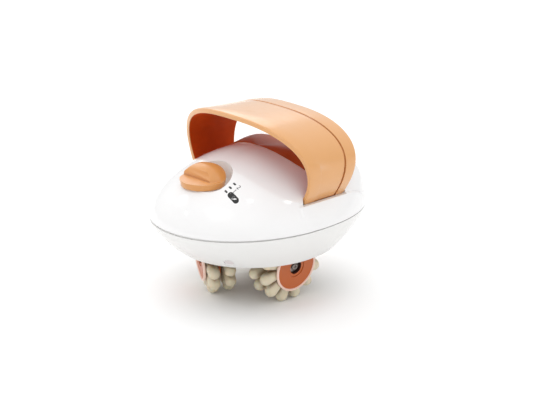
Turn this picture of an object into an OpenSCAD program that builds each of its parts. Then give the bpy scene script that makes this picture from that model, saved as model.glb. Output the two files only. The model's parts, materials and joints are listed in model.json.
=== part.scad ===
// Body massager: egg-shaped casing, strap handle, speed dial and a driven head with three knobbed rollers
// Millimetres, +Z up, nose towards -Y, origin on the floor under the axis of the turret

/* [Casing] */
// Length of the casing from nose to tail
body_len = 160; // [156:1:168]
// Width of the casing at the seam
body_w = 131.4; // [130.4:0.2:136]
// Squareness of the plan outline over the nose half, 2 is an ellipse
nose_pow = 2.02; // [1.98:0.01:2.1]
// Squareness of the plan outline over the tail half
tail_pow = 2.25; // [2.15:0.01:2.35]
// Height of the seam over the floor
seam_z = 59.5; // [59:0.25:60.5]
// Rise of the upper casing over the seam
dome_h = 43.6; // [43.2:0.1:44.4]
// Depth of the lower casing under the seam
bowl_h = 25.6; // [24.6:0.1:26.2]
// Wall of both casings
wall = 2.4; // [2:0.1:2.8]
// Open line between the casings at the sides
seam_gap = 0.6; // [0.3:0.1:0.8]
// Extra opening of the seam round the nose
nose_gap = 0.8; // [0.2:0.1:1.2]
// Height of the shoulder ledges that carry the handle
ledge_z = 75.4; // [75:0.1:76.2]
// Half-width of the casing at the ledges
ledge_x = 58; // [57.6:0.1:58.6]
// Swell of the nose under the dial
nose_swell = 3; // [2.4:0.1:3.6]

/* [Handle] */
// Half-width that sets the reach of the strap arch
arch_x = 69.5; // [69:0.1:70]
// Height of the crown over the floor, at its front edge
crown_z = 130.6; // [128:0.2:134]
// Fall of the crown from its front edge to its rear edge
crown_fall = 4.4; // [3:0.1:5.5]
// Squareness of the arch
arch_pow = 2.65; // [2.6:0.01:2.8]
// Thickness of the strap
strap_t = 3.5; // [3.3:0.1:3.8]
// Extra thickness of the strap at the feet
foot_t = 3; // [2:0.1:3.4]
// Depth of the groove along the rear of the strap
groove_d = 0.8; // [0.4:0.1:1.2]
// Depth of the sunk panel at the foot of each leg
panel_d = 0.9; // [0.5:0.1:1]
// Thickness of the palm pad on the dome
pad_t = 1.3; // [1.1:0.1:1.6]

/* [Dial] */
// Distance of the dial in front of the turret axis
dial_y = 50; // [49:0.5:51]
// Radius of the dial rim
dial_r = 15.7; // [14.8:0.1:16.2]
// Height of the dial wall
dial_wall = 4.4; // [3.6:0.1:5]
// Rise of the grip over the dial rim
grip_h = 8.8; // [7:0.1:10]
// Height of the dial seat over the floor
seat_z = 86.4; // [86:0.1:86.8]
// Radius of the hollow round the dial
hollow_r = 20.2; // [19.4:0.1:21]

/* [Turret] */
// Radius of the well that the rollers turn in
well_r = 50; // [49.4:0.1:50.4]
// Radius of the turret disc
disc_r = 47; // [44:0.5:48]
// Radius of the turret hub
hub_r = 12.5; // [11:0.5:13.4]
// Diameter of the turret shaft
shaft_d = 8; // [6:0.5:9]
// Plan angle of the first roller
first_angle = -2; // [-10:1:10]

/* [Rollers] */
// Slope of the roller axles
droop = 7.5; // [6.5:0.1:8]
// Reach of the knob tips from the axle
tip_r = 27; // [26:0.1:27.2]
// Diameter of a knob
knob_d = 8.4; // [7.2:0.1:8.8]
// Knobs in one row
knobs = 12; // [10:2:12]
// Distance of the outer row along the axle
row_out = 35.3; // [35:0.1:35.6]
// Spacing of the two rows
row_gap = 11.3; // [10.9:0.1:11.5]
// Radius of the outer disc of a roller
cap_r = 17.4; // [16.4:0.1:18.2]
// Diameter of the roller axles
axle_d = 4; // [3.4:0.1:4.4]

/* [Drive] */
// Tooth module of the final pair
gear_m = 1; // [0.98:0.01:1.01]
// Teeth of the turret gear
gear_teeth = 60; // [58:2:60]
// Tooth module of the motor pair
fine_m = 0.8; // [0.78:0.01:0.82]
// Diameter of the motor can
motor_d = 24; // [20:0.5:24]
// Height of the motor can
motor_h = 16.5; // [14:0.5:17]
// Diameter of the idler pin
pin_d = 3; // [2.5:0.1:3.4]

/* [Fasteners and electrics] */
// Diameter of the casing screws
screw_d = 3; // [2.5:0.1:3.2]
// Sideways distance of the casing screws
screw_x = 29.5; // [29:0.1:30]
// Distance of the casing screws from the ends of the casing
screw_in = 26; // [25.6:0.1:26.4]
// Radius of the plugs over the casing screws
plug_r = 3.4; // [3:0.1:3.8]
// Thickness of the circuit board
board_t = 1.6; // [1.2:0.2:2]
// Height of the supply socket over the floor
jack_z = 68.5; // [67:0.5:70]

/* [Fits] */
// Radial play of running fits
run_fit = 0.05; // [0.03:0.01:0.08]
// Play between seated parts
seat_fit = 0.15; // [0.1:0.01:0.2]
// Backlash of the teeth at the pitch circle
backlash = 0.12; // [0.08:0.01:0.2]

/* [Hidden] */
$fn = 64;
half_l = body_len / 2;
half_w = body_w / 2;
columns = 72;
// Roundness of the dome in side view, at the nose, the sides and the tail
dome_pow = [1.92, 1.49, 3.89];
// Lean of the dome wall at the same three places
dome_lean = [0.14, -0.095, 0.23];
// Inset of the underside at the same three places
under_in = [23.8, 13.7, 26];
bowl_pow = 1.57;
// Height of the palm pad over the dome
pad_up = 0.3;
// Rounding of the dome at its middle, as a fraction of the outline
tip_c = 0.06;
// Reach of the swell round the nose
swell_r = 30;
floor_z = seam_z - bowl_h;
screw_y = half_l - screw_in;
// Seat of the casing screw heads and top of the plugs under them
head_seat = 47;
plug_top = head_seat - 0.65 * screw_d - 0.25;
// Length of a casing screw above the joint of its bosses
screw_bite = 7;
// Wall of the roller well and thickness of the land it stands on
well_t = 2;
well_seat = 2;
// Angles of the outline where the ledges begin
ledge_t = [10, 11.6];
// Length of the notch in front of the strap's feet
notch = 4;
roof_z = 60;
roof_t = 2;
roof_top = roof_z + roof_t;
boss_top = 68;
gear_z = boss_top + 1.1;
gear_h = 4.9;
idler_z = roof_top + 1;
plate_z = 68.5;
plate_t = 2;
motor_y = 48;
idler_teeth = 14;
wheel_teeth = 40;
pinion_teeth = 12;
far_c = gear_m * (gear_teeth + idler_teeth) / 2;
near_c = fine_m * (wheel_teeth + pinion_teeth) / 2;
idler_y = (far_c * far_c - near_c * near_c + motor_y * motor_y) / (2 * motor_y);
idler_x = sqrt(far_c * far_c - idler_y * idler_y);
posts = [[-19, 43], [-9, 61], [9, 61]];
board_z = 70;
board_top = board_z + board_t;
board_y = 49;
rim_z = seat_z + 0.3 + dial_wall;
row_in = row_out - row_gap;
tip_ball = knob_d / 2;
head_z = tip_ball + (tip_r - tip_ball) * cos(180 / knobs) * cos(droop) + row_out * sin(droop);
core_in = row_in - 6;
core_out = row_out + tip_ball + 0.2;
split = seam_z + 6.5;

function signed_pow(v, e) = (v < 0 ? -1 : 1) * pow(abs(v), e);
function ramp(v, a, b) = min(1, max(0, (v - a) / (b - a)));
function ease(f) = f * f * (3 - 2 * f);
function square_of(t) = nose_pow + (tail_pow - nose_pow) * ease(ramp(sin(t), -0.4, 0.4));
function plan(t, off) = [(half_w - off) * signed_pow(cos(t), 2 / square_of(t)),
  (half_l - off) * signed_pow(sin(t), 2 / square_of(t))];
function around(t, v) = v[1] * pow(cos(t), 2) + v[sin(t) < 0 ? 0 : 2] * pow(sin(t), 2);
function along(t) = plan(t, 0).y / half_l;

// Columns of the outer skin, drawn together where the ledges begin
function spoke(t) = let (right = cos(t) > 0, d = right ? 360 - t : t - 180,
  w = lookup(d, [[0, 0], [5, ledge_t[0]], [10, ledge_t[1]], [15, 14.5], [20, 20]]))
  d <= 0 || d >= 20 ? t : right ? 360 - w : 180 + w;

// Fraction of the outline with its point at the top rounded off, and back
function blunt(r) = (norm([r, tip_c]) - tip_c) / (norm([1, tip_c]) - tip_c);
function unblunt(r) = sqrt(pow(r * (norm([1, tip_c]) - tip_c) + tip_c, 2) - tip_c * tip_c);

// Height of the dome at a fraction r of the outline along direction t
function rise(t, r, h) = let (q = around(t, dome_pow), s = blunt(r))
  h * (1 - around(t, dome_lean) * s) * pow(max(0, 1 - pow(s, q)), 1 / q);

// Fraction of the outline where the dome has height z, found by iteration
function reach(t, z, h, r = 0.9, n = 9) = n == 0 ? unblunt(r) : let (q = around(t, dome_pow))
  reach(t, z, h, pow(max(0, 1 - pow(max(0, z) / (h * (1 - around(t, dome_lean) * r)), q)), 1 / q), n - 1);

// Shoulder height and overhang along the length, v runs from -1 at the nose to 1 at the tail
function ledge_rise(v) = ledge_z - seam_z - 14 * ease(ramp(v, 0.42, 0.92));
function ledge_side(v) = ramp(v, along(-ledge_t[1]), along(-ledge_t[0])) * (1 - ease(ramp(v, 0.4, 0.8)));

// Low swell that brings the nose up to the dial seat
function swell(p) = nose_swell * pow(cos(90 * min(1, norm([p.x, p.y + dial_y + 12]) / swell_r)), 2);

function dome_point(t, r, off, sw) = let (p = plan(t, off) * r)
  [p.x, p.y, seam_z + rise(t, r, dome_h - off) + sw * swell(p)];

function low_point(t, f, off, out, sw, z0) = let (v = along(t),
  z = z0 + (ledge_rise(v) - z0) * f, p = plan(t, off) * reach(t, z, dome_h - off),
  over = max(0, ledge_x - abs(plan(t, 0).x) * reach(t, ledge_rise(v), dome_h)) * ledge_side(v))
  [p.x + (p.x < 0 ? -1 : 1) * out * over * pow(max(0, z) / ledge_rise(v), 1.5), p.y,
    seam_z + z + sw * swell(p) * f * f];

function high_point(t, f, off, sw) = let (r = reach(t, ledge_rise(along(t)) + 0.8, dome_h - off))
  dome_point(t, r * (1 - f * f), off, sw);

// Rings of equal length from the base up, closed by a flat base and a single top point
module ring_stack(rings, top) {
  n = len(rings[0]);
  last = len(rings) - 1;
  points = concat([for (ring = rings) for (p = ring) p], [top]);
  base = [[for (i = [0 : n - 1]) i]];
  sides = [for (j = [0 : last - 1]) for (i = [0 : n - 1]) for (k = [0, 1])
    let (a = j * n + i, b = j * n + (i + 1) % n) k == 0 ? [a, b + n, b] : [a, a + n, b + n]];
  fan = [for (i = [0 : n - 1]) [last * n + i, last * n + n, last * n + (i + 1) % n]];
  polyhedron(points, concat(base, sides, fan), convexity = 6);
}

// Dome outline moved inwards by off, with the shoulders when out is 1
module dome(off, out, sw, z0, n_low, n_high, cols = 48) {
  angles = [for (i = [0 : cols - 1]) out > 0 ? spoke(i * 360 / cols) : i * 360 / cols];
  rings = concat(
    [for (j = [0 : n_low]) [for (t = angles) low_point(t, j / n_low, off, out, sw, z0)]],
    [for (j = [0 : n_high - 1]) [for (t = angles) high_point(t, j / n_high, off, sw)]]);
  ring_stack(rings, dome_point(0, 0, off, sw));
}

function bowl_ring(f, off, cols) = [for (i = [0 : cols - 1]) let (t = i * 360 / cols, p = plan(t, off),
  q = p * (1 - around(t, under_in) * pow(f, bowl_pow) / norm(p))) [q.x, q.y, seam_z - (bowl_h - off) * f]];

// Bowl moved inwards by off, drawn from the floor face up to the seam
module bowl(off, rim_z0, n, cols = 48) {
  rings = concat([for (j = [n : -1 : 0]) bowl_ring(j / n, off, cols)],
    [[for (p = bowl_ring(0, off, cols)) [p.x, p.y, rim_z0]]]);
  ring_stack(rings, [0, 0, rim_z0]);
}

module plan_band(out, in) {
  difference() {
    polygon([for (i = [0 : columns - 1]) plan(i * 360 / columns, out)]);
    polygon([for (i = [0 : columns - 1]) plan(i * 360 / columns, in)]);
  }
}

module at_screws() {
  for (sx = [-1, 1])
    for (sy = [-1, 1])
      translate([sx * screw_x, sy * screw_y, 0])
        children();
}

// Plan outline of the palm pad, wider towards its ends like a saddle
module pad_outline(play) {
  n = 16;
  polygon(concat(
    [for (i = [-n : n]) [i / n * (38 + play), 1.2 - play + 8 * pow(i / n, 2)]],
    [for (i = [n : -1 : -n]) [i / n * (38 + play), 30 + play - 2 * pow(i / n, 2)]]));
}

// Point of the strap at angle a along the arch, fraction w of its width and depth d under its outer face
arch_z = 70;
function strap_rise(w) = crown_z - arch_z - crown_fall * (1.32 * w - 0.32 * w * w);
function strap_front(u) = -7.75 + 3.6 * u - 6.9 * u * u - 13.1 * pow(u, 3);
function strap_rear(u) = 28.2 + 14.7 * u + 6.8 * u * u - 14.1 * pow(u, 3);
function strap_point(a, w, d, dy) = let (u = pow(sin(a), 2 / arch_pow))
  [(arch_x - d) * signed_pow(cos(a), 2 / arch_pow) * (1 - 0.26 * pow(1 - u, 2)),
    strap_front(u) * (1 - w) + strap_rear(u) * w + dy, arch_z + u * (strap_rise(w) - d)];
function foot_angle(z, w, d) = asin(pow((z - arch_z) / (strap_rise(w) - d), arch_pow / 2));

// Closed rings across the strap, loop holds width fraction, depth, panel and flare shares, lengthways shift
module strap_loft(loop, z, n) {
  m = len(loop);
  u_foot = (z - arch_z) / strap_rise(0);
  rings = [for (i = [0 : n]) [for (p = loop) let (
    deep = p[1] + foot_t * p[3],
    a = foot_angle(z, p[0], deep), b = i == 0 ? a : i == n ? 180 - a : a + (180 - 2 * a) * i / n,
    u = pow(sin(b), 2 / arch_pow),
    panel = panel_d * p[2] * (1 - ease(ramp(u, 0.38, 0.68))),
    flare = foot_t * p[3] * pow(1 - ramp(u, u_foot, 0.34), 2))
    strap_point(b, p[0], i == 0 || i == n ? deep + panel : p[1] + panel + flare, p[4])]];
  ends = [[for (k = [0 : m - 1]) k], [for (k = [0 : m - 1]) n * m + m - 1 - k]];
  sides = [for (i = [0 : n - 1]) for (k = [0 : m - 1]) for (h = [0, 1])
    let (a = i * m + k, b = i * m + (k + 1) % m) h == 0 ? [a, a + m, b] : [b, a + m, b + m]];
  polyhedron([for (ring = rings) for (p = ring) p], concat(ends, sides), convexity = 6);
}

strap_loop = [[0, 0.9, 0, 0, 0], [0.012, 0.3, 0, 0, 0], [0.035, 0, 0, 0, 0], [0.235, 0, 0, 0, 0],
  [0.25, 0, 1, 0, 0], [0.5, 0, 0.9, 0, 0], [0.745, 0, 0.6, 0, 0], [0.753, groove_d, 0.6, 0, 0],
  [0.775, groove_d, 0.6, 0, 0], [0.783, 0, 0, 0, 0], [0.96, 0, 0, 0, 0], [0.99, 0.25, 0, 0, 0],
  [1, 0.8, 0, 0, 0], [1, strap_t, 0, 1, 0], [0.5, strap_t, 0, 1, 0], [0, strap_t, 0, 1, 0]];

// Room for the strap in the casing, it opens outwards over the ledges and has a notch in front of the feet
module strap_room(play) {
  in = strap_t + play;
  strap_loft([[0, -4, 0, 0, -notch], [1, -4, 0, 0, play], [1, in, 0, 1, play], [0, in, 0, 1, -play]],
    ledge_z, 46);
}

// Tongues of the handle that drop into the casing
tongue_x = 52.2;
tongue_t = 2.4;
tongue_w = 20;
tongue_y = 11;
screw_ys = [tongue_y - 6, tongue_y + 6];
side_screw_z = split + 5.5;
lining_x = 47;

module tongues(play) {
  top = ledge_z + 0.8;
  for (s = [-1, 1])
    translate([s * tongue_x, tongue_y, (split + top) / 2])
      cube([tongue_t + 2 * play, tongue_w + 2 * play, top - split + 2 * play], center = true);
}

module at_handle_screws() {
  for (s = [0, 180])
    for (y = screw_ys)
      rotate([0, 0, s])
        translate([0, s == 0 ? y : -y, side_screw_z])
          rotate([0, 90, 0])
            children();
}

module handle_band() {
  color([0.95, 0.72, 0.50])
  difference() {
    union() {
      strap_loft(strap_loop, ledge_z + seat_fit, 46);
      tongues(0);
    }
    at_handle_screws()
      cylinder(h = tongue_x + 2, r = screw_d / 2 + 0.02);
  }
}

module handle_screws() {
  color([0.75, 0.76, 0.78])
  at_handle_screws()
    translate([0, 0, lining_x - 0.05])
      pan_screw(screw_d, tongue_x + tongue_t / 2 + 0.2 - lining_x);
}

// Pan-head screw, seat of the head at zero and shank upwards
module pan_screw(d, len) {
  difference() {
    union() {
      cylinder(h = len, r = d / 2);
      translate([0, 0, -0.45 * d])
        cylinder(h = 0.45 * d, r = 0.95 * d);
      translate([0, 0, -0.65 * d])
        cylinder(h = 0.2 * d, r1 = 0.75 * d, r2 = 0.95 * d);
    }
    for (a = [0, 90])
      rotate([0, 0, a])
        translate([0, 0, -0.45 * d])
          cube([1.2 * d, 0.24 * d, 0.5 * d], center = true);
  }
}

module dial_hollow() {
  translate([0, -dial_y, 0])
    rotate_extrude()
      polygon([[0, seat_z], [hollow_r - 3.4, seat_z], [hollow_r - 1.6, seat_z + 1.4],
        [hollow_r - 0.6, seat_z + 4.2], [hollow_r, seat_z + 9], [hollow_r, seat_z + 24], [0, seat_z + 24]]);
}

module upper_inside() {
  // Cup under the dial
  translate([0, -dial_y, seat_z - 2.4])
    cylinder(h = 22, r = hollow_r + 2);
  // Bosses of the casing screws
  at_screws()
    translate([0, 0, split + 0.1])
      cylinder(h = 34, r = screw_d / 2 + 2.5);
  // Pegs that carry the circuit board
  for (x = [-15, 15])
    for (y = [-39, -59])
      translate([x, y, board_top])
        cylinder(h = 24, r = 2.4);
  // Cheeks beside the supply socket
  for (s = [-1, 1])
    translate([s * 5.8, half_l - 7, jack_z])
      cube([1.4, 14, 11], center = true);
}

module upper_casing() {
  color([0.97, 0.97, 0.96])
  difference() {
    union() {
      difference() {
        dome(0, 1, 1, seam_gap / 2, 6, 14, columns);
        dome(wall, 0, 0, -1, 2, 9);
      }
      intersection() {
        dome(0.4, 0, 0, seam_gap / 2, 2, 9);
        upper_inside();
      }
      // Linings behind the handle feet
      for (s = [-1, 1])
        translate([s * (lining_x + 5), tongue_y, (split + ledge_z - 0.4) / 2])
          cube([10, 36, ledge_z - 0.4 - split], center = true);
    }
    dial_hollow();
    translate([0, -dial_y, seat_z - 5])
      cylinder(h = 10, r = 3.7);
    strap_room(seat_fit);
    tongues(seat_fit);
    at_handle_screws()
      cylinder(h = tongue_x + tongue_t / 2 + 0.6, r = screw_d / 2 + seat_fit);
    difference() {
      translate([0, 0, crown_z - 60])
        linear_extrude(60)
          pad_outline(0.1);
      dome(pad_t - pad_up, 0, 0, 8, 1, 9);
    }
    // Rebate for the lip of the lower casing
    translate([0, 0, seam_z - 1])
      linear_extrude(3.1)
        plan_band(1.35, 5);
    at_screws()
      translate([0, 0, split - 1])
        cylinder(h = screw_bite + 4, r = screw_d / 2 + 0.02);
    translate([0, half_l + 2, jack_z])
      rotate([90, 0, 0])
        cylinder(h = 10, r = 4.1);
  }
  color([0.97, 0.97, 0.96])
  for (x = [-15, 15])
    for (y = [-39, -59])
      translate([x, y, board_z - 0.8])
        cylinder(h = board_t + 0.9, r = 1.1);
}

module at_posts(these) {
  for (p = these)
    translate([p.x, p.y, 0])
      children();
}

module post_bore() {
  translate([0, 0, roof_z + 0.5])
    cylinder(h = 10, r = screw_d / 2 + 0.02);
}

// Cup over the rollers, its roof is the deck of the gear train
module roller_well() {
  color([0.90, 0.90, 0.89])
  difference() {
    union() {
      translate([0, 0, floor_z + well_seat + 0.1])
        cylinder(h = roof_top - floor_z - well_seat - 0.1, r = well_r + well_t);
      translate([0, 0, roof_z])
        cylinder(h = boss_top - roof_z, r = shaft_d / 2 + 3.5);
      translate([idler_x, idler_y, roof_z])
        cylinder(h = idler_z - 0.1 - roof_z, r = pin_d / 2 + 2);
      at_posts([posts[0]])
        translate([0, 0, roof_z])
          cylinder(h = plate_z - roof_z, r = 3);
    }
    at_posts([posts[0]])
      post_bore();
    cylinder(h = roof_z, r = well_r);
    cylinder(h = 90, r = shaft_d / 2 + 1.5);
    translate([idler_x, idler_y, roof_z + 0.5])
      cylinder(h = 10, r = pin_d / 2 + 0.02);
  }
}

module lower_casing() {
  color([0.93, 0.93, 0.92])
  difference() {
    union() {
      difference() {
        bowl(0, seam_z + 1, 10, columns);
        bowl(wall, seam_z + 2, 7);
        translate([0, 0, seam_z - seam_gap / 2 + 10])
          cube([300, 300, 20], center = true);
      }
      intersection() {
        bowl(0.3, seam_z + 20, 7);
        union() {
          at_screws()
            cylinder(h = split, r = plug_r + 1.2);
          at_posts([posts[1], posts[2]])
            cylinder(h = plate_z, r = 3);
        }
      }
      translate([0, 0, seam_z - 3])
        linear_extrude(4.9)
          plan_band(1.5, wall);
    }
    cylinder(h = seam_z, r = well_r);
    translate([0, 0, floor_z + well_seat])
      cylinder(h = seam_z, r = well_r + well_t + 0.1);
    at_screws()
      cylinder(h = head_seat, r = plug_r);
    at_screws()
      cylinder(h = 80, r = screw_d / 2 + 0.2);
    at_posts([posts[1], posts[2]])
      post_bore();
    // The open line widens towards the nose
    difference() {
      translate([0, 0, seam_z - seam_gap / 2])
        rotate([atan(nose_gap / half_l), 0, 0])
          translate([0, -body_len, 5])
            cube([2 * body_w, 2 * body_len, 10], center = true);
      linear_extrude(seam_z + 20)
        polygon([for (i = [0 : columns - 1]) plan(i * 360 / columns, 1.5)]);
    }
  }
}

module palm_pad() {
  color([0.55, 0.27, 0.12])
  intersection() {
    translate([0, 0, crown_z - 60])
      linear_extrude(60)
        pad_outline(0);
    difference() {
      dome(-pad_up, 0, 0, 12, 1, 9);
      dome(pad_t - pad_up, 0, 0, 8, 1, 9);
    }
  }
}

module casing_screws() {
  color([0.75, 0.76, 0.78])
  at_screws()
    translate([0, 0, head_seat - 0.05])
      pan_screw(screw_d, split + screw_bite - head_seat);
}

module screw_plugs() {
  color([0.82, 0.81, 0.79])
  intersection() {
    bowl(0.3, seam_z + 1, 7);
    at_screws()
      cylinder(h = plug_top, r = plug_r - 0.05);
  }
}

scoop_r = 5;
scoop_y = -1;
crown_r = dial_r - 0.05;

module dial_knob() {
  color([0.94, 0.75, 0.55])
  translate([0, -dial_y, 0])
  difference() {
    union() {
      translate([0, 0, rim_z - dial_wall])
        cylinder(h = dial_wall, r1 = dial_r - 0.8, r2 = dial_r);
      intersection() {
        translate([0, 0, rim_z])
          rotate_extrude()
            polygon(concat([[0, -0.2], [crown_r, -0.2]], [for (a = [0 : 6 : 90])
              [crown_r * pow(cos(a), 0.62), (grip_h + 0.4) * pow(sin(a), 0.8)]]));
        translate([-3, 6, rim_z + grip_h - 20.5])
          sphere(r = 20.5, $fn = 96);
        translate([0, 6.5, rim_z + grip_h - 9.8])
          rotate([0, 90, 0])
            cylinder(h = 3 * dial_r, r = 10, center = true, $fn = 96);
      }
    }
    // Scooped face in front of the grip, its floor falls to the right
    translate([0, scoop_y, rim_z + 1.3])
      rotate([0, 5, 0])
        rotate([90, 0, 90])
          linear_extrude(3 * dial_r, center = true) {
            translate([-scoop_r, scoop_r])
              circle(scoop_r);
            translate([-2 * dial_r, 0])
              square([2 * dial_r - scoop_r, 2 * grip_h]);
            translate([-2 * dial_r, scoop_r])
              square([2 * dial_r, 2 * grip_h]);
          }
    translate([0, 0, rim_z - dial_wall - 1])
      difference() {
        cylinder(h = dial_wall - 0.8, r = dial_r - 2.4);
        cylinder(h = dial_wall, r = 5.4);
      }
    translate([0, 0, seat_z - 10])
      cylinder(h = rim_z - seat_z + 9.2, r = 3.02);
  }
}

module switch_shaft() {
  color([0.20, 0.20, 0.22])
  translate([0, -dial_y, board_top + 5])
  difference() {
    cylinder(h = rim_z - 0.9 - board_top - 5, r = 3);
    translate([5.4, 0, 20])
      cube([6, 8, 16], center = true);
  }
}

module rotary_switch() {
  color([0.15, 0.15, 0.17])
  translate([0, -dial_y, board_top])
  difference() {
    union() {
      translate([0, 0, 5])
        cube([20, 18, 10], center = true);
      cylinder(h = 11.6, r = 5);
      for (x = [-7, 0, 7])
        translate([x, 0, -2])
          cylinder(h = 3, r = 0.5);
    }
    translate([0, 0, 4.9])
      cylinder(h = 10, r = 3 + run_fit);
  }
}

module circuit_board() {
  color([0.10, 0.35, 0.18])
  translate([0, -board_y, board_z])
  difference() {
    translate([0, 0, board_t / 2])
      cube([38, 28, board_t], center = true);
    for (x = [-15, 15])
      for (y = [10, -10])
        translate([x, y, -1])
          cylinder(h = 5, r = 1.2);
    for (x = [-7, 0, 7])
      translate([x, -1, -1])
        cylinder(h = 5, r = 0.6);
  }
}

module dc_jack() {
  color([0.12, 0.12, 0.13])
  translate([0, 0, jack_z])
  rotate([-90, 0, 0])
  difference() {
    union() {
      translate([0, 0, half_l - 10.5])
        cube([9.8, 9.8, 9], center = true);
      translate([0, 0, half_l - 10])
        cylinder(h = 9.6, r = 4);
    }
    difference() {
      translate([0, 0, half_l - 9.5])
        cylinder(h = 12, r = 2.75);
      translate([0, 0, half_l - 14])
        cylinder(h = 12.5, r = 1);
    }
  }
}

module motor() {
  color([0.70, 0.71, 0.73])
  translate([0, motor_y, plate_z])
  difference() {
    union() {
      translate([0, 0, plate_t])
        cylinder(h = motor_h, r = motor_d / 2);
      translate([0, 0, 0.2])
        cylinder(h = 3, r = 3.2);
      translate([0, 0, plate_t + motor_h])
        cylinder(h = 1.2, r = 3.5);
    }
    translate([0, 0, -1])
      cylinder(h = 10, r = 1.3);
  }
}

module motor_plate() {
  color([0.62, 0.63, 0.65])
  difference() {
    union() {
      translate([0, motor_y, plate_z])
        cylinder(h = plate_t, r = 11.8);
      at_posts(posts)
        translate([0, 0, plate_z])
          cylinder(h = plate_t, r = 4);
      for (p = posts)
        translate([p.x, p.y, plate_z])
          rotate([0, 0, atan2(motor_y - p.y, -p.x)])
            translate([0, -3.5, 0])
              cube([14, 7, plate_t]);
    }
    translate([0, motor_y, plate_z - 1])
      cylinder(h = 5, r = 3.3);
    at_posts(posts)
      translate([0, 0, plate_z - 1])
        cylinder(h = 5, r = screw_d / 2 + 0.2);
  }
}

module plate_screws() {
  color([0.75, 0.76, 0.78])
  at_posts(posts)
    translate([0, 0, plate_z + plate_t])
      rotate([180, 0, 0])
        pan_screw(screw_d, 10);
}

// Involute of the base circle, angles in degrees
function involute(a) = tan(a) * 180 / PI - a;
function tooth(z, m) = let (rp = m * z / 2, rb = rp * cos(20), rf = rp - 1.25 * m, ra = rp + m,
  r0 = max(rb, rf), half = 90 / z - backlash / 2 / rp * 180 / PI / 2)
  [for (i = [0 : 3]) let (r = r0 + (ra - r0) * i / 3) [r, half + involute(20) - involute(acos(min(1, rb / r)))]];
function polar(r, a) = [r * cos(a), r * sin(a)];
function reversed(v) = [for (i = [len(v) - 1 : -1 : 0]) v[i]];

module gear_outline(z, m) {
  t = tooth(z, m);
  root = m * z / 2 - 1.25 * m;
  polygon([for (k = [0 : z - 1]) each concat(
    [polar(root, k * 360 / z - t[0][1])],
    [for (p = t) polar(p[0], k * 360 / z - p[1])],
    [for (p = reversed(t)) polar(p[0], k * 360 / z + p[1])],
    [polar(root, k * 360 / z + t[0][1])])]);
}

idler_a = atan2(idler_y, idler_x);
motor_a = atan2(motor_y - idler_y, -idler_x);

module turret_gear() {
  color([0.90, 0.88, 0.80])
  translate([0, 0, gear_z])
  difference() {
    rotate([0, 0, idler_a])
      linear_extrude(gear_h)
        gear_outline(gear_teeth, gear_m);
    translate([0, 0, -1])
      cylinder(h = 10, r = shaft_d / 2 + 0.02);
    for (a = [0 : 60 : 300])
      rotate([0, 0, a])
        translate([17.5, 0, -1])
          cylinder(h = 10, r = 5.5);
  }
}

module compound_gear() {
  color([0.88, 0.86, 0.78])
  translate([idler_x, idler_y, 0])
  difference() {
    union() {
      translate([0, 0, gear_z])
        rotate([0, 0, idler_a + 180 + 180 / idler_teeth])
          linear_extrude(gear_h)
            gear_outline(idler_teeth, gear_m);
      translate([0, 0, idler_z])
        rotate([0, 0, motor_a])
          linear_extrude(4.5)
            gear_outline(wheel_teeth, fine_m);
      translate([0, 0, idler_z + 4])
        cylinder(h = gear_z - idler_z - 3, r = 5.6);
    }
    translate([0, 0, idler_z - 1])
      cylinder(h = 20, r = pin_d / 2 + run_fit);
  }
}

module gear_pin() {
  color([0.78, 0.79, 0.81])
  translate([idler_x, idler_y, roof_z + 0.6])
    cylinder(h = gear_z + gear_h + 0.8 - roof_z - 0.6, r = pin_d / 2);
}

module motor_pinion() {
  color([0.80, 0.66, 0.36])
  translate([0, motor_y, 0]) {
    translate([0, 0, idler_z])
      rotate([0, 0, motor_a + 180 + 180 / pinion_teeth])
        linear_extrude(5.2)
          gear_outline(pinion_teeth, fine_m);
    translate([0, 0, idler_z])
      cylinder(h = 14, r = 1.15);
  }
}

module turret_shaft() {
  color([0.78, 0.79, 0.81])
  difference() {
    translate([0, 0, 36])
      cylinder(h = 42, r = shaft_d / 2);
    translate([0, 0, gear_z + gear_h + 0.1])
      difference() {
        cylinder(h = 1.2, r = shaft_d / 2 + 1);
        cylinder(h = 1.2, r = shaft_d / 2 - 0.6);
      }
  }
}

module shaft_bush() {
  color([0.80, 0.66, 0.36])
  difference() {
    union() {
      translate([0, 0, roof_z])
        cylinder(h = boss_top + 1 - roof_z, r = shaft_d / 2 + 1.45);
      translate([0, 0, boss_top])
        cylinder(h = 1, r = shaft_d / 2 + 3.4);
    }
    translate([0, 0, roof_z - 1])
      cylinder(h = 12, r = shaft_d / 2 + run_fit);
  }
}

module shaft_clip() {
  color([0.35, 0.36, 0.38])
  translate([0, 0, gear_z + gear_h + 0.2])
  difference() {
    cylinder(h = 1, r = shaft_d / 2 + 2.4);
    translate([0, 0, -1])
      cylinder(h = 3, r = shaft_d / 2 - 0.58);
    translate([5, 0, 0])
      cube([10, 4, 5], center = true);
  }
}

// Frame of roller i: +Z outwards along the axle, +X towards the floor
module at_roller(i) {
  rotate([0, 0, first_angle - 120 * (i - 1)])
    translate([0, 0, head_z])
      rotate([0, 90 + droop, 0])
        children();
}

module turret_carrier() {
  disc_z = roof_z - 2.8;
  color([0.86, 0.84, 0.80])
  difference() {
    union() {
      translate([0, 0, disc_z])
        cylinder(h = 2, r = disc_r);
      translate([0, 0, 20])
        cylinder(h = disc_z - 19, r = hub_r);
      for (i = [1 : 3]) {
        at_roller(i)
          cylinder(h = 13.4, r = 6);
        rotate([0, 0, first_angle + 60 + 120 * i])
          translate([20, 0, disc_z - 2.5])
            cube([30, 2.4, 7], center = true);
      }
    }
    translate([0, 0, 35.8])
      cylinder(h = 40, r = shaft_d / 2 + 0.02);
    for (i = [1 : 3])
      at_roller(i)
        translate([0, 0, 5.8])
          cylinder(h = 10, r = axle_d / 2 + 0.02);
    translate([0, 0, disc_z + 4])
      difference() {
        cylinder(h = 4, r = disc_r + 5, center = true);
        cylinder(h = 5, r = shaft_d / 2 + 1, center = true);
      }
  }
}

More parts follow.
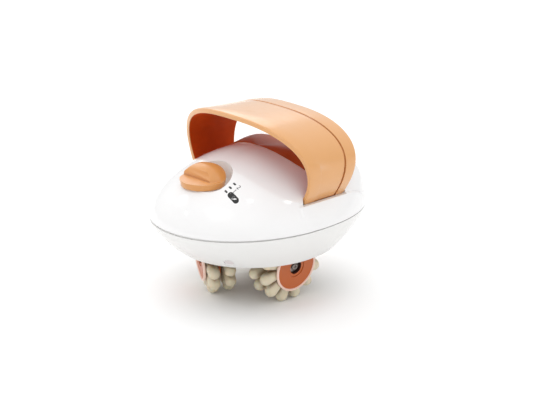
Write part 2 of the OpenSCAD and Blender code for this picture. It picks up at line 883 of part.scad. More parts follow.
module roller_axle(i) {
  color([0.78, 0.79, 0.81])
  at_roller(i)
  difference() {
    union() {
      translate([0, 0, 6])
        cylinder(h = core_out - 8.1, r = axle_d / 2);
      translate([0, 0, 13.4])
        cylinder(h = core_in - 13.5, r = axle_d / 2 + 1.4);
    }
    translate([0, 0, core_out - 10])
      cylinder(h = 12, r = 1.27);
  }
}

module roller_core(i) {
  mid = (row_in + row_out) / 2;
  bore = axle_d / 2 + run_fit;
  color([0.72, 0.38, 0.18])
  at_roller(i)
  rotate_extrude()
    polygon([[bore, core_in], [14.4, core_in], [15, core_in + 0.5], [15, core_in + 1.5], [10.5, core_in + 1.5],
      [10.5, mid - 0.6], [15.5, mid - 0.6], [15.5, mid + 0.6], [10.5, mid + 0.6], [10.5, core_out],
      [7, core_out], [7, core_out + 0.9], [5, core_out + 0.9], [5, core_out - 2], [bore, core_out - 2]]);
}

module roller_knobs(i) {
  color([0.93, 0.88, 0.76])
  at_roller(i)
  for (t = [row_in, row_out])
    translate([0, 0, t]) {
      rotate_extrude()
        polygon([[10.6, -3.9], [14.4, -3.9], [15, -3.3], [15, 3.3], [14.4, 3.9], [10.6, 3.9]]);
      for (k = [0 : knobs - 1])
        rotate([0, 90, (k + 0.5) * 360 / knobs]) {
          translate([0, 0, 13])
            cylinder(h = tip_r - tip_ball - 13, r = tip_ball, $fn = 32);
          translate([0, 0, tip_r - tip_ball])
            sphere(r = tip_ball, $fn = 32);
        }
    }
}

module roller_cap(i) {
  color([0.76, 0.40, 0.20])
  at_roller(i)
  translate([0, 0, core_out + 0.1])
  rotate_extrude()
    polygon([[7.1, 0], [cap_r - 0.5, 0], [cap_r, 0.5], [cap_r, 1.5], [cap_r - 0.4, 1.9], [cap_r - 1.1, 1.9],
      [cap_r - 1.5, 1.2], [7.1, 1.2]]);
}

module roller_screw(i) {
  color([0.80, 0.81, 0.83])
  at_roller(i)
  translate([0, 0, core_out - 1.8]) {
    translate([0, 0, 0.7])
      rotate([180, 0, 0])
        pan_screw(2.5, 8);
    difference() {
      cylinder(h = 0.6, r = 4.4);
      translate([0, 0, -1])
        cylinder(h = 3, r = 1.25);
    }
  }
}

upper_casing();
lower_casing();
roller_well();
handle_band();
palm_pad();
handle_screws();
casing_screws();
screw_plugs();
dial_knob();
switch_shaft();
rotary_switch();
circuit_board();
dc_jack();
motor();
motor_plate();
plate_screws();
motor_pinion();
compound_gear();
gear_pin();
turret_gear();
turret_shaft();
shaft_bush();
shaft_clip();
turret_carrier();
roller_axle(1);  // roller_1_axle
roller_core(1);  // roller_1_core
roller_knobs(1);  // roller_1_knobs
roller_cap(1);  // roller_1_cap
roller_screw(1);  // roller_1_screw
roller_axle(2);  // roller_2_axle
roller_core(2);  // roller_2_core
roller_knobs(2);  // roller_2_knobs
roller_cap(2);  // roller_2_cap
roller_screw(2);  // roller_2_screw
roller_axle(3);  // roller_3_axle
roller_core(3);  // roller_3_core
roller_knobs(3);  // roller_3_knobs
roller_cap(3);  // roller_3_cap
roller_screw(3);  // roller_3_screw
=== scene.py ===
"""Looks of a handheld body massager: casing, strap handle, dial, palm pad and the three-roller head."""

import json
import math

import bmesh
import bpy
from bpy.props import FloatProperty, FloatVectorProperty, PointerProperty
from bpy.types import Operator, Panel, PropertyGroup
from mathutils import Matrix, Vector
from mathutils.bvhtree import BVHTree


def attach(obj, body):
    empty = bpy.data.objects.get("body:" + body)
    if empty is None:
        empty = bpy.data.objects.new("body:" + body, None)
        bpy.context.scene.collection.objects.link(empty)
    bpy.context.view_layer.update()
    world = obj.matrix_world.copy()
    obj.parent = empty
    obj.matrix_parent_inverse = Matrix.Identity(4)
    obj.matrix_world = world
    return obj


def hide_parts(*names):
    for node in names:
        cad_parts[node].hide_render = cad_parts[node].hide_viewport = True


bl_info = {
    "name": "Body Massager Looks",
    "version": (1, 0, 0),
    "blender": (4, 5, 0),
    "location": "3D View > Sidebar > Massager",
    "description": "Dresses the body massager's solids with rounded pieces, marks and moulded plastics",
    "category": "Object",
}

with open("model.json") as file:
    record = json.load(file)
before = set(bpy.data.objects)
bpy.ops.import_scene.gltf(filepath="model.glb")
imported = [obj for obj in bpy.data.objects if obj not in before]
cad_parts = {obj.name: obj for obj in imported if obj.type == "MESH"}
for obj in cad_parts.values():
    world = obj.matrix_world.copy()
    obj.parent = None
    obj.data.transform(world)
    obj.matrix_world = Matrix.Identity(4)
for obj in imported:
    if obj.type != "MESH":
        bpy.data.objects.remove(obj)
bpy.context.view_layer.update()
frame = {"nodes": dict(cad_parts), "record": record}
JOINTS = {joint["name"]: joint for joint in frame["record"]["behaviour"]["joints"]}
DIAL = Vector(JOINTS["dial_turn"]["pos_m"])
MM = 0.001
DOWN = Vector((0, 0, -1))

# Points closer than this, in metres, become one
WELD = 2e-6

# Edges that fold by more than these stay sharp
SHARP = math.radians(34)
SHARP_SHELL = math.radians(12)
SHARP_BOWL = math.radians(16)
SHARP_STRAP = math.radians(24)

# Place, width in metres and watts of each lamp. The glints are mirrored as bright spots in the dome.
LAMPS = {
    "back": ((-1.25, 0.75, 1.1), 1.4, 5),
    "key": ((-1.1, -0.7, 1.1), 0.6, 1.3),
    "fill": ((0.3, -0.9, 1.6), 0.8, 0.8),
    "glint_nose": ((-0.49, -0.93, 0.754), 0.09, 0.12),
    "glint_top": ((0.306, 0.002, 1.252), 0.09, 0.12),
    "glint_side": ((0.549, 0.49, 1.044), 0.09, 0.12),
}
LAMP_AIM = Vector((0, 0, 0.06))

# The photograph's width, focal length and off-centre framing in its own pixels
PHOTO_WIDTH = 537
FOCAL_PX = 2320
LEFT_PX = 12.2
UP_PX = 7.0
SENSOR_MM = 36


def colour(name, default, description):
    return FloatVectorProperty(name=name, description=description, subtype="COLOR", size=3,
                               min=0, max=1, default=default)


def length(name, default, description):
    return FloatProperty(name=name, description=description, subtype="DISTANCE", min=0, default=default)


def angle(name, default, description):
    return FloatProperty(name=name, description=description, subtype="ANGLE", default=default)


def strength(name, default, description):
    return FloatProperty(name=name, description=description, min=0, default=default)


class CasingLooks(PropertyGroup):
    white: colour("Upper casing", (0.87, 0.865, 0.865), "Glossy white of the upper casing")
    grey: colour("Lower casing", (0.82, 0.815, 0.80), "Slightly greyer white of the lower casing")
    plug: colour("Screw plugs", (0.70, 0.64, 0.64), "Plugs over the casing screws")
    edge: length("Edge radius", 0.35 * MM, "Softening of the casings' edges")


class MarkLooks(PropertyGroup):
    ink: colour("Ink", (0.004, 0.004, 0.004), "Printed bars and pill beside the dial")
    figure: colour("Figures", (0.05, 0.05, 0.055), "Printed figures beside the bars")
    open_figure: colour("Figure in the pill", (0.13, 0.13, 0.135), "Figure left open in the pill")
    height: length("Figure height", 3.1 * MM, "Height of the figures beside the bars")
    bar_reach: length("Bars from the axis", 22.8 * MM, "Distance of the bars' middle from the dial's axis")
    bar_pitch: length("Bar spacing", 3.9 * MM, "Distance from one bar to the next")
    bar_length: length("Bar length", 2.5 * MM, "Length of a bar")
    bar_width: length("Bar width", 1.3 * MM, "Width of a bar")
    pill_length: length("Pill length", 9.0 * MM, "Length of the pill")
    pill_width: length("Pill width", 4.2 * MM, "Width of the pill")
    figure_gap: length("Figures from the bars", 4.0 * MM, "Distance of a figure from its bar")
    pill_gap: length("Pill from the bars", 6.5 * MM, "Distance of the pill from the first bar")
    pill_shift: length("Pill's side shift", 0.4 * MM, "Distance of the pill from the first bar's line")
    film: length("Film", 0.05 * MM, "Height of the print over the casing")
    open_film: length("Film in the pill", 0.12 * MM, "Height of the pill's figure over the casing")
    root: length("Root", 0.1 * MM, "Depth of the print in the casing")


class StrapLooks(PropertyGroup):
    peach: colour("Strap", (0.73, 0.35, 0.11), "Moulded peach plastic of the strap")
    dial: colour("Dial", (0.68, 0.30, 0.085), "Moulded peach plastic of the dial")
    # Painted shade in the strap's groove and the dial's scoop, and a painted highlight along sharp edges
    crease: colour("Creases", (0.42, 0.12, 0.02), "Deeper tone in the strap's groove and the dial's scoop")
    rubbed: colour("Rubbed edges", (0.92, 0.62, 0.36), "Paler tone along edges")
    pad: colour("Palm pad", (0.50, 0.10, 0.012), "Soft inlay on the casing")
    # Painted shade: a dark skin inside the strap stands in for the shade under its arch
    shade: colour("Inner shade", (0.52, 0.055, 0.003), "Soft lining on the strap's inner side")
    edge: length("Edge radius", 0.35 * MM, "Softening of the strap's and the pad's edges")
    dial_edge: length("Dial's edge radius", 0.5 * MM, "Rounding of the dial's edges")
    # Thickness, bare rim and lower ends of the painted shade's skin inside the strap
    lining: length("Lining's thickness", 0.25 * MM, "Thickness of the soft lining inside the strap")
    lining_rim: length("Lining's rim", 0.7 * MM, "Bare rim beside the lining")
    lining_foot: length("Lining's foot", 11 * MM, "Distance of the lining's lower ends below the dial's pivot")


class RollerLooks(PropertyGroup):
    orange: colour("Roller discs", (0.50, 0.105, 0.012), "Satin orange of the roller discs")
    # Painted highlight: the pale rim stands in for light caught along each orange disc's edge
    rim: colour("Disc rims", (0.90, 0.66, 0.56), "Pale rim round each roller disc")
    # Painted shade: the bore round each screw of the orange core is coloured dark in place of the shade inside
    # it
    hub: colour("Hubs", (0.045, 0.008, 0.004), "Dark bore round each roller's screw")
    knob: colour("Knobs", (0.74, 0.66, 0.49), "Milky silicone of the knobs")
    # Painted shade where the knobs meet the ring
    valley: colour("Between the knobs", (0.22, 0.12, 0.05), "Deeper tone where the knobs meet the ring")
    carrier: colour("Turret", (0.62, 0.57, 0.50), "Moulded turret between the rollers")
    rim_radius: length("Rim's inner radius", 15.8 * MM, "Radius at which the pale rim of a disc begins")
    hub_radius: length("Hub radius", 5.1 * MM, "Radius of the dark bore round a roller's screw")


class StageLooks(PropertyGroup):
    azimuth: angle("Azimuth", math.radians(46), "Camera's turn round the object")
    elevation: angle("Elevation", math.radians(19), "Camera's height angle")
    distance: length("Distance", 1.6, "Camera to the middle of the object")
    aim_height: length("Aim height", 0.065, "Height of the point that the camera faces")
    floor_radius: length("Floor radius", 6, "Radius of the round floor")
    horizon: strength("Horizon", 0.76, "Light from the sides")
    zenith: strength("Zenith", 1.28, "Light from above")
    backdrop: colour("Backdrop", (0.95, 0.95, 0.95), "Pale floor")


class MassagerLooks(PropertyGroup):
    casing: PointerProperty(type=CasingLooks)
    marks: PointerProperty(type=MarkLooks)
    strap: PointerProperty(type=StrapLooks)
    roller: PointerProperty(type=RollerLooks)
    stage: PointerProperty(type=StageLooks)


class Wire:
    """A value in a shader. Python's operators add the Math nodes that work on it."""

    def __init__(self, board, socket):
        self.board = board
        self.socket = socket

    def maths(self, operation, *values):
        return self.board.node("ShaderNodeMath", {"operation": operation}, *values)

    def __add__(self, other):
        return self.maths("ADD", self, other)

    def __mul__(self, other):
        return self.maths("MULTIPLY", self, other)

    def __rsub__(self, other):
        return self.maths("SUBTRACT", other, self)

    __radd__ = __add__
    __rmul__ = __mul__

    def clamped(self, low, high):
        """0 below low, 1 above high, and smooth between."""
        return self.board.node("ShaderNodeMapRange", {"interpolation_type": "SMOOTHSTEP"},
                               Value=self, **{"From Min": low, "From Max": high})


class Board:
    """The nodes of a material or of the studio's light."""

    def __init__(self, owner):
        owner.use_nodes = True
        self.tree = owner.node_tree

    def node(self, kind, settings, *values, output=0, **named):
        """Makes a node from its type, its settings and the values or links of its sockets."""
        made = self.tree.nodes.new(kind)
        for key, value in settings.items():
            setattr(made, key, value)
        for key, value in list(enumerate(values)) + list(named.items()):
            self.feed(made.inputs[key], value)
        return Wire(self, made.outputs[output])

    def feed(self, socket, value):
        """Links a socket, or gives it a constant."""
        if isinstance(value, Wire):
            self.tree.links.new(value.socket, socket)
        elif hasattr(value, "__len__") and len(value) == 3 and socket.type == "RGBA":
            socket.default_value = (*value, 1)
        else:
            socket.default_value = value


class Sheet(Board):
    """A material under construction: a Principled shader and the nodes that feed it."""

    def __init__(self, name):
        self.material = bpy.data.materials.new(name)
        super().__init__(self.material)
        self.shader = self.tree.nodes["Principled BSDF"]
        self.place = self.node("ShaderNodeTexCoord", {}, output="Object")

    def set(self, **named):
        for key, value in named.items():
            self.feed(self.shader.inputs[key.replace("_", " ")], value)

    def noise(self, scale, detail=3, stretch=None):
        place = self.place
        if stretch:
            place = self.node("ShaderNodeMapping", {}, Vector=place, Scale=stretch)
        return self.node("ShaderNodeTexNoise", {}, Vector=place, Scale=scale, Detail=detail)

    def mix(self, factor, one, two):
        """Colour one where the factor is 0, colour two where it is 1."""
        made = self.node("ShaderNodeMix", {"data_type": "RGBA"}, output=2)
        for socket, value in zip((0, 6, 7), (factor, one, two)):
            self.feed(made.socket.node.inputs[socket], value)
        return made

    def rounded(self, radius):
        """The surface's direction, turned at sharp edges as if they were rounded."""
        return self.node("ShaderNodeBevel", {"samples": 6}, Radius=radius)

    def creases(self, reach):
        """1 deep in grooves and inside corners, 0 on open surfaces."""
        return 1 - self.node("ShaderNodeAmbientOcclusion", {"samples": 8, "only_local": True}, output="AO",
                             Distance=reach)

    def ridges(self, radius):
        """1 along sharp edges, 0 away from them."""
        rounded = self.rounded(radius)
        facing = self.node("ShaderNodeNewGeometry", {}, output="Normal")
        same = self.node("ShaderNodeVectorMath", {"operation": "DOT_PRODUCT"}, rounded, facing, output="Value")
        return (1 - same).clamped(0.01, 0.12)

    def bump(self, height, depth, rounding=0):
        """Relief in the surface, with its sharp edges softened where a radius is given."""
        extra = {"Normal": self.rounded(rounding)} if rounding else {}
        self.set(Normal=self.node("ShaderNodeBump", {}, Height=height, Distance=depth, **extra))


def toned(shade, share):
    """A colour made darker, or lighter by a share over 1."""
    return tuple(c * share for c in shade)


def moulded(name, shade, roughness, speck=0.0, ripple=0.02 * MM, coat=0.0, rounding=0, shade_and_highlight=None):
    """Moulded plastic: faint flow in the colour, soft handling marks in the gloss and a slight ripple.
    The last argument, when given, holds the colours of painted shade in deep creases and of painted highlights
    along sharp edges, for pieces that have them."""
    sheet = Sheet(name)
    flow = sheet.noise(38, 4).clamped(0.3, 0.75)
    grain = sheet.noise(900, 2)
    smear = sheet.noise(70, 5, stretch=(1, 1.6, 0.7)).clamped(0.42, 0.72)
    tone = sheet.mix(flow * 0.4 + grain * speck, shade, toned(shade, 0.95))
    if shade_and_highlight:
        # Painted shade where ambient occlusion finds deep creases, and a painted highlight along sharp edges
        crease = sheet.creases(3 * MM).clamped(0.08, 0.6)
        tone = sheet.mix(sheet.ridges(rounding) * (1 - crease) * 0.7, tone, shade_and_highlight[1])
        tone = sheet.mix(crease, tone, shade_and_highlight[0])
    sheet.set(Base_Color=tone, Roughness=smear * (roughness * 0.35) + roughness, IOR=1.5, Coat_Weight=coat,
              Coat_Roughness=roughness * 0.6)
    sheet.bump(sheet.noise(55, 2) + grain * 0.15, ripple, rounding)
    return sheet.material


def rubbery(name, shade, roughness, scatter=0.0, shine=0.5, rounding=0, crease=None):
    """Soft moulding: cloudy colour and fine pores, milky where light scatters in it."""
    sheet = Sheet(name)
    cloud = sheet.noise(60, 4).clamped(0.3, 0.7)
    pores = sheet.noise(1400, 2)
    tone = sheet.mix(cloud, shade, toned(shade, 0.88))
    if crease:
        # Painted shade deep in the creases, found by ambient occlusion
        tone = sheet.mix(sheet.creases(5 * MM).clamped(0.1, 0.75), tone, crease)
    sheet.set(Base_Color=tone, Roughness=pores * 0.12 + roughness, Specular_IOR_Level=shine,
              Subsurface_Weight=scatter, Subsurface_Radius=(1.0, 0.6, 0.35), Subsurface_Scale=2.5 * MM)
    sheet.bump(pores, 0.03 * MM, rounding)
    return sheet.material


def metallic(name, shade, roughness, stretch=(1, 1, 1)):
    """Worked metal: fine lines in the gloss and a few dull stains."""
    sheet = Sheet(name)
    lines = sheet.noise(600, 3, stretch=stretch)
    stain = sheet.noise(90, 4).clamped(0.45, 0.8)
    sheet.set(Base_Color=sheet.mix(stain * 0.4, shade, toned(shade, 0.75)), Metallic=1.0,
              Roughness=lines * 0.15 + stain * 0.1 + roughness)
    sheet.bump(lines, 0.01 * MM)
    return sheet.material


def printed(name, shade):
    """Screen-printed ink, slightly uneven in its tone and its gloss."""
    sheet = Sheet(name)
    cover = sheet.noise(2200, 3)
    sheet.set(Base_Color=sheet.mix(cover.clamped(0.3, 0.9) * 0.5, shade, toned(shade, 1.6)),
              Roughness=cover * 0.2 + 0.3)
    sheet.bump(cover, 0.01 * MM)
    return sheet.material


def as_object(bm, name):
    mesh = bpy.data.meshes.new(name)
    bm.to_mesh(mesh)
    bm.free()
    obj = bpy.data.objects.new(name, mesh)
    bpy.context.scene.collection.objects.link(obj)
    return obj


def show(bm, name, body, slot, materials, *replaced):
    """Makes a finished piece and puts it on its body, in place of the solids that it replaces."""
    obj = as_object(bm, name)
    for material in materials:
        obj.data.materials.append(material)
    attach(obj, body)
    if replaced:
        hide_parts(*replaced)


def paint(node, material):
    """Gives a solid that keeps its own mesh its material."""
    mesh = frame["nodes"][node].data
    mesh.materials.clear()
    mesh.materials.append(material)


def merged(node):
    """A bmesh of a solid's triangles, with their doubles merged."""
    bm = bmesh.new()
    bm.from_mesh(frame["nodes"][node].data)
    bmesh.ops.remove_doubles(bm, verts=bm.verts, dist=WELD)
    return bm


def smoothed(bm, limit=SHARP):
    """Smooth shading that breaks at edges sharper than the limit."""
    for face in bm.faces:
        face.smooth = True
    for edge in bm.edges:
        edge.smooth = len(edge.link_faces) == 2 and edge.calc_face_angle(math.pi) < limit
    return bm


def bevelled(bm, radius):
    """Flat areas joined, and the sharp edges rounded."""
    bmesh.ops.dissolve_limit(bm, angle_limit=math.radians(0.4), verts=bm.verts, edges=bm.edges)
    hard = [edge for edge in bm.edges if len(edge.link_faces) == 2 and edge.calc_face_angle(0) > SHARP]
    bmesh.ops.bevel(bm, geom=hard, offset=radius, offset_type="OFFSET", affect="EDGES",
                    segments=3, profile=0.5, material=-1, clamp_overlap=True)
    return bm


def extruded(bm):
    """Extrudes all faces and returns the new vertices, which still lie on the old ones."""
    grown = bmesh.ops.extrude_face_region(bm, geom=bm.faces[:])["geom"]
    return {part for part in grown if isinstance(part, bmesh.types.BMVert)}


def from_axis(point, joint):
    """Distance of a point from a joint's axis."""
    offset = point - Vector(JOINTS[joint]["pos_m"])
    axis = Vector(JOINTS[joint]["axis"])
    return (offset - axis * offset.dot(axis)).length


def tint(bm, test):
    """Gives the faces whose middle passes the test the piece's second material."""
    for face in bm.faces:
        face.material_index = int(test(face.calc_center_median()))
    return bm


def looks():
    return bpy.context.scene.massager


class MASSAGER_OT_casing(Operator):
    """Dresses the casings, the roller well and the screw plugs"""
    bl_idname = "massager.casing"
    bl_label = "Casing"

    def execute(self, context):
        own = looks().casing
        white = moulded("white_gloss", own.white, 0.1, ripple=0.006 * MM, coat=0.5, rounding=own.edge)
        grey = moulded("grey_gloss", own.grey, 0.14, ripple=0.006 * MM, coat=0.4, rounding=own.edge)
        plug = moulded("plug_satin", own.plug, 0.4)
        show(smoothed(merged("upper_casing"), SHARP_SHELL), "upper_shell", "casing", "shell_white", [white],
             "upper_casing")
        show(smoothed(merged("lower_casing"), SHARP_BOWL), "lower_shell", "casing", "shell_grey", [grey],
             "lower_casing")
        show(smoothed(merged("screw_plugs")), "plugs", "casing", "plug_grey", [plug], "screw_plugs")
        paint("roller_well", grey)
        return {"FINISHED"}


class MASSAGER_OT_strap(Operator):
    """Makes the strap handle, the palm pad and a dark skin inside the strap that paints the shade under its
    arch
    """
    bl_idname = "massager.strap"
    bl_label = "Strap and palm pad"

    def execute(self, context):
        own = looks().strap
        # Painted shade in the strap's creases and painted highlights on its edges
        peach = moulded("peach_satin", own.peach, 0.3, speck=0.12, coat=1.0, rounding=own.edge,
                        shade_and_highlight=(own.crease, own.rubbed))
        pad = rubbery("pad_soft", own.pad, 0.4, shine=0.2, rounding=own.edge)
        show(smoothed(merged("handle_band"), SHARP_STRAP), "strap", "casing", "strap_peach", [peach],
             "handle_band")
        show(smoothed(merged("palm_pad")), "pad", "casing", "pad_brown", [pad], "palm_pad")
        # Painted shade inside the strap's arch
        lining = rubbery("strap_inner_shade", own.shade, 0.55, shine=0.08)
        show(self.lining(own), "strap_shade_skin", "casing", "pad_brown", [lining])
        return {"FINISHED"}

    def inwards(self, point):
        """Direction from a point of the strap to the middle of its arch."""
        return Vector((-point.x, 0, DIAL.z - point.z)).normalized()

    def lining(self, own):
        """A thin dark skin on the strap's inner side, clear of its edges and of the dome: painted shade under
        the arch.
        """
        bm = merged("handle_band")
        inner_facing = 0.6
        outer = []
        for face in bm.faces:
            middle = face.calc_center_median()
            facing = face.normal.dot(self.inwards(middle))
            if middle.z <= DIAL.z - own.lining_foot or facing <= inner_facing:
                outer.append(face)
        bmesh.ops.delete(bm, geom=outer, context="FACES")
        rim = bmesh.ops.inset_region(bm, faces=bm.faces, thickness=own.lining_rim, use_boundary=True)["faces"]
        bmesh.ops.delete(bm, geom=rim, context="FACES")
        for vert in extruded(bm):
            vert.co += self.inwards(vert.co) * own.lining
        bmesh.ops.recalc_face_normals(bm, faces=bm.faces)
        return smoothed(bm)


class MASSAGER_OT_dial(Operator):
    """Makes the dial knob with softly rounded edges"""
    bl_idname = "massager.dial"
    bl_label = "Dial"

    def execute(self, context):
        own = looks().strap
        # Painted shade in the dial's scoop and painted highlights on its edges
        peach = moulded("dial_satin", own.dial, 0.32, speck=0.12, coat=0.3, rounding=own.dial_edge,
                        shade_and_highlight=(own.crease, own.rubbed))
        knob = smoothed(bevelled(merged("dial_knob"), own.dial_edge))
        show(knob, "dial", "dial", "dial_peach", [peach], "dial_knob")
        return {"FINISHED"}


class MASSAGER_OT_marks(Operator):
    """Prints the bars, the pill and the plain figures beside the dial"""
    bl_idname = "massager.marks"
    bl_label = "Marks"

    def execute(self, context):
        own = looks().marks
        self.skin = BVHTree.FromBMesh(merged("upper_casing"))
        ink = printed("ink_black", own.ink)
        grey = printed("ink_grey", own.figure)
        pale = printed("ink_open", own.open_figure)
        for step in range(3):
            y = DIAL.y + step * own.bar_pitch
            bar = self.stadium(own.bar_length, own.bar_width)
            self.lay(bar, (own.bar_reach, y), ink, f"bar_{step}", own.film)
            if step:
                beside = (own.bar_reach + own.figure_gap, y)
                self.lay(self.figure(str(step), own.height), beside, grey, f"figure_{step}", own.film)
        pill = (own.bar_reach + own.pill_gap, DIAL.y + own.pill_shift)
        self.lay(self.stadium(own.pill_length, own.pill_width), pill, ink, "pill", own.film)
        self.lay(self.figure("0", 0.75 * own.height), pill, pale, "figure_0", own.open_film)
        return {"FINISHED"}

    def stadium(self, reach, width):
        """A flat bar with round ends, along X."""
        bm = bmesh.new()
        bmesh.ops.create_circle(bm, cap_ends=True, segments=32, radius=width / 2)
        for vert in bm.verts:
            if abs(vert.co.x) > 1e-9:
                vert.co.x += math.copysign((reach - width) / 2, vert.co.x)
        return bm

    def figure(self, text, height):
        """A plain flat figure, upright along Y."""
        curve = bpy.data.curves.new("figure", "FONT")
        curve.body = text
        figure_share = 0.7
        curve.size = height / figure_share
        curve.align_x = "CENTER"
        curve.align_y = "CENTER"
        curve.resolution_u = 4
        writing = bpy.data.objects.new("figure", curve)
        bpy.context.scene.collection.objects.link(writing)
        bm = bmesh.new()
        bm.from_mesh(bpy.data.meshes.new_from_object(writing))
        bpy.data.objects.remove(writing)
        bmesh.ops.remove_doubles(bm, verts=bm.verts, dist=1e-6)
        return bm

    def lay(self, bm, place, material, name, lift):
        """Cuts a flat mark into narrow slices, lays it on the casing and gives it a thickness."""
        reach = max(vert.co.x for vert in bm.verts)
        root = looks().marks.root
        slices = 8
        # No slice may run through a corner of the mark, so all of them stand a little aside
        aside = 0.4
        for i in range(-slices, slices):
            bmesh.ops.bisect_plane(bm, geom=bm.verts[:] + bm.edges[:] + bm.faces[:], dist=1e-7,
                                   plane_co=(reach * (i + aside) / slices, 0, 0), plane_no=(1, 0, 0))
        bmesh.ops.remove_doubles(bm, verts=bm.verts, dist=WELD)
        top = extruded(bm)
        for vert in bm.verts:
            above = Vector((vert.co.x + place[0], vert.co.y + place[1], DIAL.z + 0.1))
            ground = self.skin.ray_cast(above, DOWN)[0]
            vert.co = ground + Vector((0, 0, lift if vert in top else -root))
        bmesh.ops.recalc_face_normals(bm, faces=bm.faces)
        show(bm, name, "casing", "shell_white", [material])


class MASSAGER_OT_rollers(Operator):
    """Dresses the turret and the three rollers"""
    bl_idname = "massager.rollers"
    bl_label = "Rollers"

    def execute(self, context):
        own = looks().roller
        orange = moulded("orange_satin", own.orange, 0.3)
        rim = moulded("rim_painted_highlight", own.rim, 0.3)
        hub = moulded("hub_painted_shade", own.hub, 0.35)
        # The knobs carry painted shade between them
        knob = rubbery("knob_silicone", own.knob, 0.3, scatter=0.35, crease=own.valley)
        steel = metallic("axle_steel", (0.62, 0.62, 0.63), 0.22)
        screw = metallic("screw_plate", (0.30, 0.26, 0.24), 0.25)
        for i in (1, 2, 3):
            body = f"roller_{i}"
            joint = f"roller_{i}_spin"
            show(smoothed(merged(f"{body}_knobs")), f"knobs_{i}", body, "knob_cream", [knob], f"{body}_knobs")
            # Painted shade in the bore round the screw
            core = tint(smoothed(merged(f"{body}_core")), lambda p: from_axis(p, joint) < own.hub_radius)
            show(core, f"core_{i}", body, "roller_orange", [orange, hub], f"{body}_core")
            # Painted highlight along the disc's rim
            cap = tint(smoothed(merged(f"{body}_cap")), lambda p: from_axis(p, joint) > own.rim_radius)
            show(cap, f"cap_{i}", body, "roller_orange", [orange, rim], f"{body}_cap")
            paint(f"{body}_axle", steel)
            paint(f"{body}_screw", screw)
        paint("turret_carrier", moulded("turret_satin", own.carrier, 0.4))
        return {"FINISHED"}


class MASSAGER_OT_inside(Operator):
    """Dresses the drive, the electrics and the fasteners"""
    bl_idname = "massager.inside"
    bl_label = "Inside"

    def execute(self, context):
        steel = metallic("zinc_steel", (0.60, 0.61, 0.62), 0.3)
        can = metallic("motor_can", (0.56, 0.57, 0.58), 0.25, stretch=(1, 1, 12))
        brass = metallic("machined_brass", (0.72, 0.50, 0.20), 0.25)
        dark = metallic("black_spring", (0.10, 0.10, 0.11), 0.35)
        nylon = moulded("natural_nylon", (0.74, 0.70, 0.58), 0.45)
        black = moulded("black_plastic", (0.012, 0.012, 0.013), 0.38)
        board = moulded("board_lacquer", (0.015, 0.09, 0.035), 0.3)
        for node, material in {"handle_screws": steel, "casing_screws": steel, "plate_screws": steel,
                               "motor_plate": steel, "motor": can, "gear_pin": steel, "turret_shaft": steel,
                               "motor_pinion": brass, "shaft_bush": brass, "shaft_clip": dark,
                               "turret_gear": nylon, "compound_gear": nylon, "switch_shaft": black,
                               "rotary_switch": black, "dc_jack": black, "circuit_board": board}.items():
            paint(node, material)
        return {"FINISHED"}


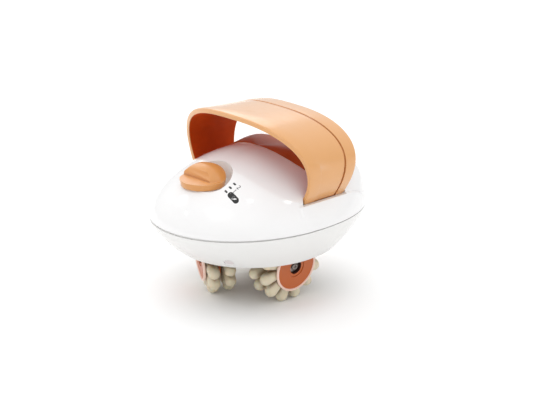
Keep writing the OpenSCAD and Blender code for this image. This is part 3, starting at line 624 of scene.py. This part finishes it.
class MASSAGER_OT_stage(Operator):
    """Makes the pale floor, the studio lights and the camera"""
    bl_idname = "massager.stage"
    bl_label = "Stage"

    def execute(self, context):
        own = looks().stage
        bm = bmesh.new()
        bmesh.ops.create_circle(bm, cap_ends=True, segments=96, radius=own.floor_radius)
        floor = as_object(bm, "floor")
        paper = Sheet("floor_paper")
        paper.set(Base_Color=paper.mix(paper.noise(3, 2), own.backdrop, toned(own.backdrop, 0.995)),
                  Roughness=0.9)
        floor.data.materials.append(paper.material)
        context.scene.world = self.sky(own)
        for name, (place, width, watts) in LAMPS.items():
            self.lamp(name, place, width, watts)
        self.camera(own, context.scene)
        context.scene.view_settings.view_transform = "Standard"
        return {"FINISHED"}

    def sky(self, own):
        """Soft light from all round, strongest from above."""
        world = bpy.data.worlds.new("studio")
        studio = Board(world)
        direction = studio.node("ShaderNodeTexCoord", {}, output="Generated")
        height = studio.node("ShaderNodeSeparateXYZ", {}, direction, output="Z")
        light = studio.node("ShaderNodeMapRange", {}, Value=height,
                            **{"To Min": own.horizon, "To Max": own.zenith})
        studio.feed(studio.tree.nodes["Background"].inputs["Color"], (1, 1, 1))
        studio.feed(studio.tree.nodes["Background"].inputs["Strength"], light)
        return world

    def lamp(self, name, place, width, watts):
        data = bpy.data.lights.new(name, "AREA")
        data.shape = "DISK"
        data.size = width
        data.energy = watts
        lamp = bpy.data.objects.new(name, data)
        turn = (LAMP_AIM - Vector(place)).to_track_quat("-Z", "Y").to_matrix().to_4x4()
        lamp.matrix_world = Matrix.Translation(place) @ turn
        bpy.context.scene.collection.objects.link(lamp)

    def camera(self, own, scene):
        data = bpy.data.cameras.new("camera")
        data.sensor_width = SENSOR_MM
        data.lens = FOCAL_PX / PHOTO_WIDTH * SENSOR_MM
        data.shift_x = LEFT_PX / PHOTO_WIDTH
        data.shift_y = -UP_PX / PHOTO_WIDTH
        back = Vector((math.sin(own.azimuth) * math.cos(own.elevation),
                       -math.cos(own.azimuth) * math.cos(own.elevation), math.sin(own.elevation)))
        camera = bpy.data.objects.new("camera", data)
        camera.location = Vector((0, 0, own.aim_height)) + back * own.distance
        camera.rotation_mode = "QUATERNION"
        camera.rotation_quaternion = (-back).to_track_quat("-Z", "Y")
        scene.collection.objects.link(camera)
        scene.camera = camera


SECTIONS = {
    "casing": [MASSAGER_OT_casing, MASSAGER_OT_inside],
    "marks": [MASSAGER_OT_marks],
    "strap": [MASSAGER_OT_strap, MASSAGER_OT_dial],
    "roller": [MASSAGER_OT_rollers],
    "stage": [MASSAGER_OT_stage],
}


class MASSAGER_PT_looks(Panel):
    bl_idname = "MASSAGER_PT_looks"
    bl_label = "Massager"
    bl_space_type = "VIEW_3D"
    bl_region_type = "UI"
    bl_category = "Massager"

    def draw(self, context):
        for group, operators in SECTIONS.items():
            box = self.layout.box()
            own = getattr(context.scene.massager, group)
            for key in own.__annotations__:
                box.prop(own, key)
            for operator in operators:
                box.operator(operator.bl_idname)


CLASSES = [CasingLooks, MarkLooks, StrapLooks, RollerLooks, StageLooks, MassagerLooks,
           MASSAGER_OT_casing, MASSAGER_OT_strap, MASSAGER_OT_dial, MASSAGER_OT_marks,
           MASSAGER_OT_rollers, MASSAGER_OT_inside, MASSAGER_OT_stage, MASSAGER_PT_looks]


def register():
    for cls in CLASSES:
        bpy.utils.register_class(cls)
    bpy.types.Scene.massager = PointerProperty(type=MassagerLooks)


def unregister():
    del bpy.types.Scene.massager
    for cls in reversed(CLASSES):
        bpy.utils.unregister_class(cls)


def main():
    register()
    bpy.ops.massager.casing()
    bpy.ops.massager.strap()
    bpy.ops.massager.dial()
    bpy.ops.massager.marks()
    bpy.ops.massager.rollers()
    bpy.ops.massager.inside()
    bpy.ops.massager.stage()


if __name__ == "__main__":
    main()
